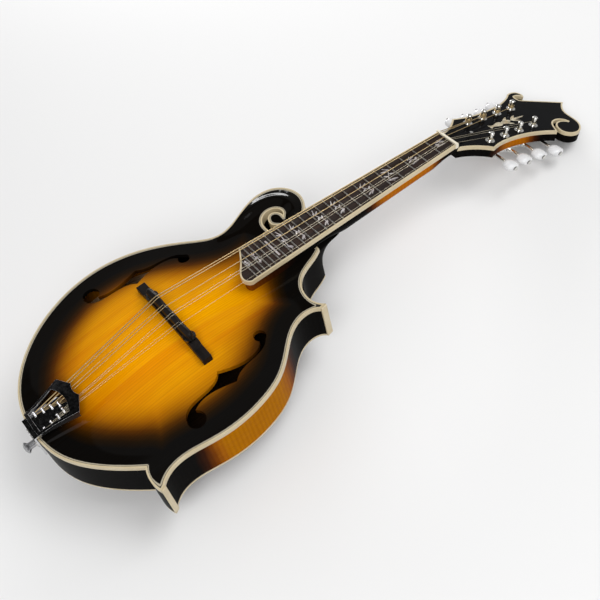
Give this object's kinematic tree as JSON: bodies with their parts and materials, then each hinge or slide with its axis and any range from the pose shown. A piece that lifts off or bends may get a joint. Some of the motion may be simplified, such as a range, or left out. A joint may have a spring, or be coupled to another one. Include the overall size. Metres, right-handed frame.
{
  "type": "mandolin",
  "caption": "Carved-top mandolin with a scroll body, two f-holes, paired strings, height-adjustable bridge, tailpiece and geared machine heads on a tilted headstock.",
  "frame": {"origin": "on the end pin's axis, 5 mm outside the tail end of the sides", "axes": "+X towards the treble side, +Y from the end pin to the headstock, +Z out of the top"},
  "size_m": [0.2616, 0.7107, 0.1141],
  "materials": {
    "spruce_top": "gloss sunburst lacquer over spruce",
    "maple": "gloss sunburst lacquer over flamed maple",
    "plain_wood": "bare wood",
    "cream_binding": "polished celluloid",
    "purfling": "black and white lines under lacquer",
    "bone": "polished bone",
    "rosewood": "oiled",
    "ebony": "satin",
    "fret_wire": "polished nickel silver",
    "pearl": "mother of pearl",
    "black_lacquer": "high gloss",
    "steel": "bright",
    "bridge_metal": "polished",
    "chrome": "polished",
    "nickel": "polished",
    "pearloid_button": "polished pearloid",
    "bronze_string": "wound bronze",
    "steel_string": "bright"
  },
  "bodies": {
    "body": {"back_binding": "cream_binding", "back_plate": "maple", "blocks": "plain_wood", "bridge_base": "ebony", "bridge_studs": "bridge_metal", "end_pin": "chrome", "fret_inlays": "pearl", "fretboard": "rosewood", "fretboard_binding": "cream_binding", "fretboard_riser": "plain_wood", "frets": "fret_wire", "head_binding": "cream_binding", "head_inlay": "pearl", "head_plate": "black_lacquer", "linings": "plain_wood", "neck": "maple", "nut": "bone", "plain_strings": "steel_string", "point_protectors": "cream_binding", "screws": "nickel", "sides": "maple", "tailpiece_bracket": "chrome", "tailpiece_frame": "chrome", "tone_bars": "plain_wood", "top_binding": "cream_binding", "top_plate": "spruce_top", "top_purfling": "purfling", "truss_rod": "steel", "truss_rod_cover": "black_lacquer", "tuner_bushings": "nickel", "tuner_plates": "nickel", "wound_strings": "bronze_string"},
    "key_1": {"tuner_button_1": "pearloid_button", "tuner_worm_1": "nickel"},
    "post_1": {"tuner_post_1": "nickel"},
    "key_2": {"tuner_button_2": "pearloid_button", "tuner_worm_2": "nickel"},
    "post_2": {"tuner_post_2": "nickel"},
    "key_3": {"tuner_button_3": "pearloid_button", "tuner_worm_3": "nickel"},
    "post_3": {"tuner_post_3": "nickel"},
    "key_4": {"tuner_button_4": "pearloid_button", "tuner_worm_4": "nickel"},
    "post_4": {"tuner_post_4": "nickel"},
    "key_5": {"tuner_button_5": "pearloid_button", "tuner_worm_5": "nickel"},
    "post_5": {"tuner_post_5": "nickel"},
    "key_6": {"tuner_button_6": "pearloid_button", "tuner_worm_6": "nickel"},
    "post_6": {"tuner_post_6": "nickel"},
    "key_7": {"tuner_button_7": "pearloid_button", "tuner_worm_7": "nickel"},
    "post_7": {"tuner_post_7": "nickel"},
    "key_8": {"tuner_button_8": "pearloid_button", "tuner_worm_8": "nickel"},
    "post_8": {"tuner_post_8": "nickel"},
    "saddle": {"bridge_saddle": "ebony"},
    "wheel_bass": {"bridge_wheel_bass": "bridge_metal"},
    "wheel_treble": {"bridge_wheel_treble": "bridge_metal"}
  },
  "joints": [
    {"name": "key_1_turn", "type": "hinge", "parent": "body", "child": "key_1", "pos_m": [-0.0178, 0.57021, -0.02467], "axis": [1, 0, 0], "continuous": true},
    {"name": "post_1_turn", "type": "hinge", "parent": "body", "child": "post_1", "pos_m": [-0.0178, 0.56822, -0.00653], "axis": [0, 0.3379, 0.9412], "continuous": true},
    {"name": "key_2_turn", "type": "hinge", "parent": "body", "child": "key_2", "pos_m": [-0.0178, 0.59214, -0.03254], "axis": [1, 0, 0], "continuous": true},
    {"name": "post_2_turn", "type": "hinge", "parent": "body", "child": "post_2", "pos_m": [-0.0178, 0.59015, -0.0144], "axis": [0, 0.3379, 0.9412], "continuous": true},
    {"name": "key_3_turn", "type": "hinge", "parent": "body", "child": "key_3", "pos_m": [-0.0178, 0.61407, -0.04041], "axis": [1, 0, 0], "continuous": true},
    {"name": "post_3_turn", "type": "hinge", "parent": "body", "child": "post_3", "pos_m": [-0.0178, 0.61208, -0.02227], "axis": [0, 0.3379, 0.9412], "continuous": true},
    {"name": "key_4_turn", "type": "hinge", "parent": "body", "child": "key_4", "pos_m": [-0.0178, 0.636, -0.04829], "axis": [1, 0, 0], "continuous": true},
    {"name": "post_4_turn", "type": "hinge", "parent": "body", "child": "post_4", "pos_m": [-0.0178, 0.63401, -0.03015], "axis": [0, 0.3379, 0.9412], "continuous": true},
    {"name": "key_5_turn", "type": "hinge", "parent": "body", "child": "key_5", "pos_m": [0.0205, 0.56626, -0.02325], "axis": [1, 0, 0], "continuous": true},
    {"name": "post_5_turn", "type": "hinge", "parent": "body", "child": "post_5", "pos_m": [0.0205, 0.56427, -0.00511], "axis": [0, 0.3379, 0.9412], "continuous": true},
    {"name": "key_6_turn", "type": "hinge", "parent": "body", "child": "key_6", "pos_m": [0.0205, 0.58819, -0.03112], "axis": [1, 0, 0], "continuous": true},
    {"name": "post_6_turn", "type": "hinge", "parent": "body", "child": "post_6", "pos_m": [0.0205, 0.5862, -0.01298], "axis": [0, 0.3379, 0.9412], "continuous": true},
    {"name": "key_7_turn", "type": "hinge", "parent": "body", "child": "key_7", "pos_m": [0.0205, 0.61012, -0.03899], "axis": [1, 0, 0], "continuous": true},
    {"name": "post_7_turn", "type": "hinge", "parent": "body", "child": "post_7", "pos_m": [0.0205, 0.60813, -0.02086], "axis": [0, 0.3379, 0.9412], "continuous": true},
    {"name": "key_8_turn", "type": "hinge", "parent": "body", "child": "key_8", "pos_m": [0.0205, 0.63205, -0.04687], "axis": [1, 0, 0], "continuous": true},
    {"name": "post_8_turn", "type": "hinge", "parent": "body", "child": "post_8", "pos_m": [0.0205, 0.63006, -0.02873], "axis": [0, 0.3379, 0.9412], "continuous": true},
    {"name": "saddle_lift", "type": "slide", "parent": "body", "child": "saddle", "axis": [0, 0, 1], "range_m": [0, 0.002], "deforming": ["wound_strings", "plain_strings"]},
    {"name": "wheel_bass_turn", "type": "hinge", "parent": "saddle", "child": "wheel_bass", "pos_m": [-0.033, 0.169, 0.0376], "axis": [0, 0, 1], "range_deg": [0, 901]},
    {"name": "wheel_treble_turn", "type": "hinge", "parent": "saddle", "child": "wheel_treble", "pos_m": [0.033, 0.169, 0.0376], "axis": [0, 0, 1], "range_deg": [0, 901]}
  ],
  "couplings": [
    {"joint": "post_1_turn", "follows": "key_1_turn", "ratio": 0.0625},
    {"joint": "post_2_turn", "follows": "key_2_turn", "ratio": 0.0625},
    {"joint": "post_3_turn", "follows": "key_3_turn", "ratio": 0.0625},
    {"joint": "post_4_turn", "follows": "key_4_turn", "ratio": 0.0625},
    {"joint": "post_5_turn", "follows": "key_5_turn", "ratio": 0.0625},
    {"joint": "post_6_turn", "follows": "key_6_turn", "ratio": 0.0625},
    {"joint": "post_7_turn", "follows": "key_7_turn", "ratio": 0.0625},
    {"joint": "post_8_turn", "follows": "key_8_turn", "ratio": 0.0625},
    {"joint": "wheel_bass_turn", "follows": "saddle_lift", "rad_per_m": 7854},
    {"joint": "wheel_treble_turn", "follows": "saddle_lift", "rad_per_m": 7854}
  ]
}
